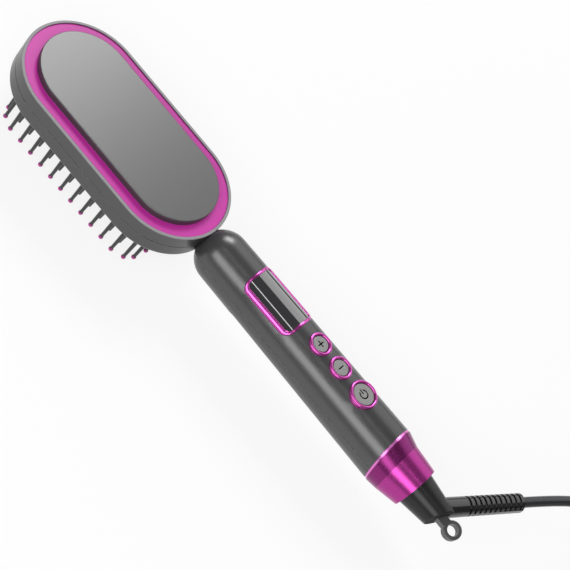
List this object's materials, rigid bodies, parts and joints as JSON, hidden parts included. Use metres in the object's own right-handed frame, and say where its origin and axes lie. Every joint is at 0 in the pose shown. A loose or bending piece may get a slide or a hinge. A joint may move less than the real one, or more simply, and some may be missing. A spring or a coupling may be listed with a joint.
{
  "type": "hot comb",
  "caption": "Heated hair-straightening brush with an oblong head, ball-tipped pins, round handle with display and keys, swivel cord tail.",
  "frame": {"origin": "on the surface that the pins stand on, under the middle of the box of the brush without its cord", "axes": "+X along the handle towards the cord, +Y across, +Z out of the plate on the head's back"},
  "size_m": [0.4808, 0.1672, 0.0439],
  "materials": {
    "casing": "satin metallic paint",
    "accent": "bright magenta moulding",
    "plate": "satin metallic grey",
    "bed": "fine matt",
    "pins": "matt nylon",
    "tips": "moulded ball tips",
    "heater": "dark ceramic coat",
    "teeth": "dark ceramic coat",
    "ceramic": "ceramic",
    "mica": "sheet mica",
    "steel": "plated",
    "inner_plastic": "moulded",
    "grip": "fine texture",
    "chrome_accent": "magenta plated",
    "window": "smoked gloss cover",
    "display": "display housing",
    "keys": "satin",
    "marks": "printed",
    "board": "circuit board",
    "switches": "moulded",
    "wires": "insulated wire",
    "metal_accent": "magenta anodised",
    "tail": "satin black",
    "brass": "plain",
    "loop": "satin",
    "relief": "soft moulding",
    "cord": "smooth jacket",
    "plug": "moulded"
  },
  "bodies": {
    "root": {"head_back_shell": "casing", "head_front_shell": "casing", "accent_ring": "accent", "back_plate": "plate", "pin_bed": "bed", "bristle_pins": "pins", "bristle_tips": "tips", "heating_plate": "heater", "heating_teeth": "teeth", "ptc_heater": "ceramic", "mica_sheet": "mica", "heater_clamp": "steel", "thermal_fuse": "steel", "temperature_sensor": "ceramic", "head_screws": "steel", "neck_tube": "inner_plastic", "handle_upper_shell": "casing", "handle_lower_shell": "casing", "grip_panel": "grip", "handle_screws": "steel", "display_frame": "chrome_accent", "display_window": "window", "display_module": "display", "key_ring_plus": "chrome_accent", "key_ring_minus": "chrome_accent", "key_ring_power": "chrome_accent", "main_board": "board", "tact_switches": "switches", "capacitor": "switches", "power_relay": "switches", "triac": "switches", "heater_wires": "wires", "supply_wires": "wires", "tail_collar": "metal_accent", "contact_brushes": "brass", "contact_block": "inner_plastic"},
    "key_plus": {"key_plus": "keys", "mark_plus": "marks"},
    "key_minus": {"key_minus": "keys", "mark_minus": "marks"},
    "key_power": {"key_power": "keys", "mark_power": "marks"},
    "swivel": {"swivel_tail": "tail", "swivel_clip": "steel", "slip_ring_spool": "inner_plastic", "slip_rings": "brass", "inner_leads": "wires", "hang_loop": "loop", "strain_relief": "relief", "cord": "cord", "cord_coil": "cord", "cord_end": "cord", "plug_body": "plug", "plug_pins": "brass"}
  },
  "joints": [
    {"name": "plus_press", "type": "slide", "parent": "root", "child": "key_plus", "axis": [0, 0, -1], "range_m": [0, 0.0006], "stiffness_N_per_m": 600},
    {"name": "minus_press", "type": "slide", "parent": "root", "child": "key_minus", "axis": [0, 0, -1], "range_m": [0, 0.0006], "stiffness_N_per_m": 600},
    {"name": "power_press", "type": "slide", "parent": "root", "child": "key_power", "axis": [0, 0, -1], "range_m": [0, 0.0006], "stiffness_N_per_m": 600},
    {"name": "tail_swivel", "type": "hinge", "parent": "root", "child": "swivel", "pos_m": [0.1272, 0, 0.0282], "axis": [1, 0, 0], "continuous": true}
  ]
}
